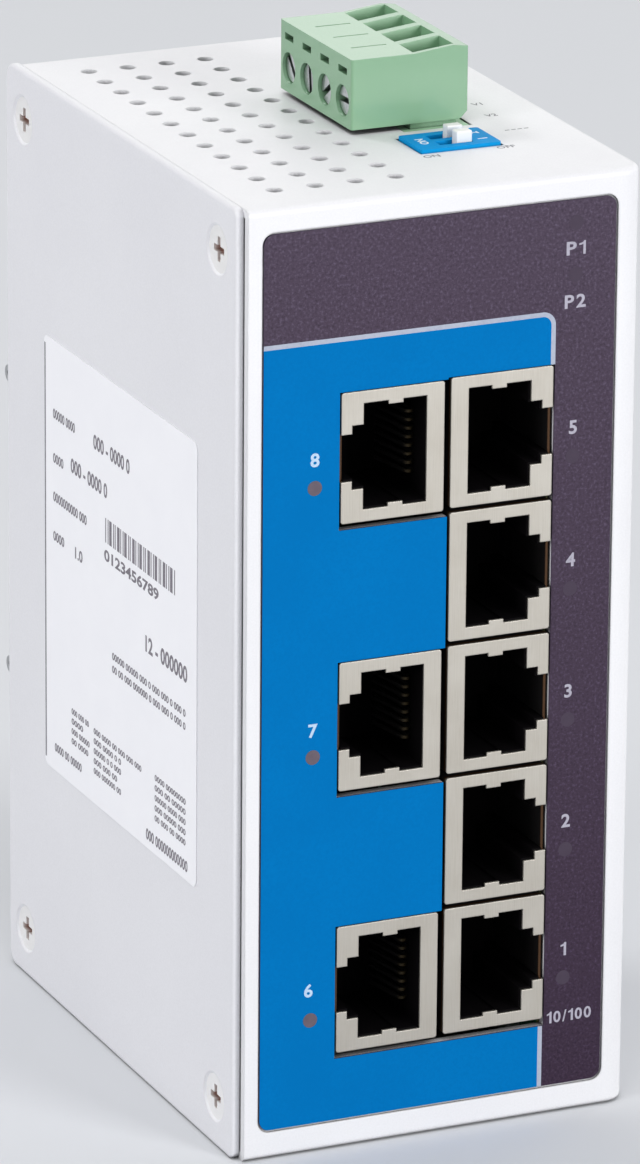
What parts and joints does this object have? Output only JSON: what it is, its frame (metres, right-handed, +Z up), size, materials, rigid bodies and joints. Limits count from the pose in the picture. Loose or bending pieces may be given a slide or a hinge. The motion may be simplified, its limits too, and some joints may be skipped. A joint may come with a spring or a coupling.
{
  "type": "industrial ethernet switch",
  "caption": "Slim metal-cased network switch for a DIN rail, with shielded sockets in two columns, a top vent field, a pluggable screw terminal block and a slide switch.",
  "frame": {"origin": "centre of the case's bottom face", "axes": "+Z up to the face with the power plug, -Y towards the front with the sockets, +X to the right seen from the front, +Y towards the mounting rail"},
  "size_m": [0.0501, 0.0745, 0.1235],
  "materials": {
    "case_paint": "satin",
    "cover_paint": "satin",
    "nickel_screw": "satin",
    "front_film": "satin",
    "label_film": "matte",
    "clip_aluminium": "satin",
    "spring_steel": "satin",
    "zinc_screw": "satin",
    "circuit_board": "satin",
    "socket_shield": "satin",
    "socket_plastic": "satin",
    "gold_contact": "polished",
    "light_lens": "clear",
    "plug_green": "satin",
    "clamp_steel": "satin",
    "tin_contact": "satin",
    "header_green": "satin",
    "switch_blue": "gloss",
    "slider_white": "satin",
    "nickel_brass": "satin",
    "black_plastic": "matte",
    "capacitor_can": "satin",
    "ferrite": "matte"
  },
  "bodies": {
    "case": {"chassis": "case_paint", "side_cover": "cover_paint", "cover_screws": "nickel_screw", "front_overlay": "front_film", "side_label": "label_film", "din_plate": "clip_aluminium", "din_spring": "spring_steel", "din_screws": "zinc_screw", "port_board": "circuit_board", "power_board": "circuit_board", "jack_1_shield": "socket_shield", "jack_1_housing": "socket_plastic", "jack_1_contacts": "gold_contact", "jack_2_shield": "socket_shield", "jack_2_housing": "socket_plastic", "jack_2_contacts": "gold_contact", "jack_3_shield": "socket_shield", "jack_3_housing": "socket_plastic", "jack_3_contacts": "gold_contact", "jack_4_shield": "socket_shield", "jack_4_housing": "socket_plastic", "jack_4_contacts": "gold_contact", "jack_5_shield": "socket_shield", "jack_5_housing": "socket_plastic", "jack_5_contacts": "gold_contact", "jack_6_shield": "socket_shield", "jack_6_housing": "socket_plastic", "jack_6_contacts": "gold_contact", "jack_7_shield": "socket_shield", "jack_7_housing": "socket_plastic", "jack_7_contacts": "gold_contact", "jack_8_shield": "socket_shield", "jack_8_housing": "socket_plastic", "jack_8_contacts": "gold_contact", "status_leds": "light_lens", "header_housing": "header_green", "header_pins": "tin_contact", "dip_body": "switch_blue", "dip_pins": "tin_contact", "board_standoffs": "nickel_brass", "board_spacers": "nickel_brass", "board_screws": "zinc_screw", "board_connector": "black_plastic", "switch_chip": "black_plastic", "magnetics": "black_plastic", "capacitors": "capacitor_can", "inductor": "ferrite"},
    "plug": {"plug_housing": "plug_green", "plug_contacts": "tin_contact"},
    "screw_1": {"terminal_screw_1": "zinc_screw"},
    "clamp_1": {"wire_clamp_1": "clamp_steel"},
    "screw_2": {"terminal_screw_2": "zinc_screw"},
    "clamp_2": {"wire_clamp_2": "clamp_steel"},
    "screw_3": {"terminal_screw_3": "zinc_screw"},
    "clamp_3": {"wire_clamp_3": "clamp_steel"},
    "screw_4": {"terminal_screw_4": "zinc_screw"},
    "clamp_4": {"wire_clamp_4": "clamp_steel"},
    "slider_1": {"dip_slider_1": "slider_white"},
    "slider_2": {"dip_slider_2": "slider_white"}
  },
  "joints": [
    {"name": "plug_lift", "type": "slide", "parent": "case", "child": "plug", "axis": [0, 0, 1], "range_m": [0, 0.012]},
    {"name": "screw_1_turn", "type": "hinge", "parent": "plug", "child": "screw_1", "pos_m": [0.0009, -0.00826, 0.11755], "axis": [1, 0, 0], "range_deg": [0, 1440]},
    {"name": "screw_2_turn", "type": "hinge", "parent": "plug", "child": "screw_2", "pos_m": [0.0009, -0.00318, 0.11755], "axis": [1, 0, 0], "range_deg": [0, 1440]},
    {"name": "screw_3_turn", "type": "hinge", "parent": "plug", "child": "screw_3", "pos_m": [0.0009, 0.0019, 0.11755], "axis": [1, 0, 0], "range_deg": [0, 1440]},
    {"name": "screw_4_turn", "type": "hinge", "parent": "plug", "child": "screw_4", "pos_m": [0.0009, 0.00698, 0.11755], "axis": [1, 0, 0], "range_deg": [0, 1440]},
    {"name": "clamp_1_travel", "type": "slide", "parent": "plug", "child": "clamp_1", "axis": [1, 0, 0], "range_m": [-0.002, 0]},
    {"name": "clamp_2_travel", "type": "slide", "parent": "plug", "child": "clamp_2", "axis": [1, 0, 0], "range_m": [-0.002, 0]},
    {"name": "clamp_3_travel", "type": "slide", "parent": "plug", "child": "clamp_3", "axis": [1, 0, 0], "range_m": [-0.002, 0]},
    {"name": "clamp_4_travel", "type": "slide", "parent": "plug", "child": "clamp_4", "axis": [1, 0, 0], "range_m": [-0.002, 0]},
    {"name": "dip_1_slide", "type": "slide", "parent": "case", "child": "slider_1", "axis": [-1, 0, 0], "range_m": [0, 0.002]},
    {"name": "dip_2_slide", "type": "slide", "parent": "case", "child": "slider_2", "axis": [-1, 0, 0], "range_m": [0, 0.002]}
  ],
  "couplings": [
    {"joint": "screw_1_turn", "follows": "clamp_1_travel", "rad_per_m": -12566},
    {"joint": "screw_2_turn", "follows": "clamp_2_travel", "rad_per_m": -12566},
    {"joint": "screw_3_turn", "follows": "clamp_3_travel", "rad_per_m": -12566},
    {"joint": "screw_4_turn", "follows": "clamp_4_travel", "rad_per_m": -12566}
  ]
}
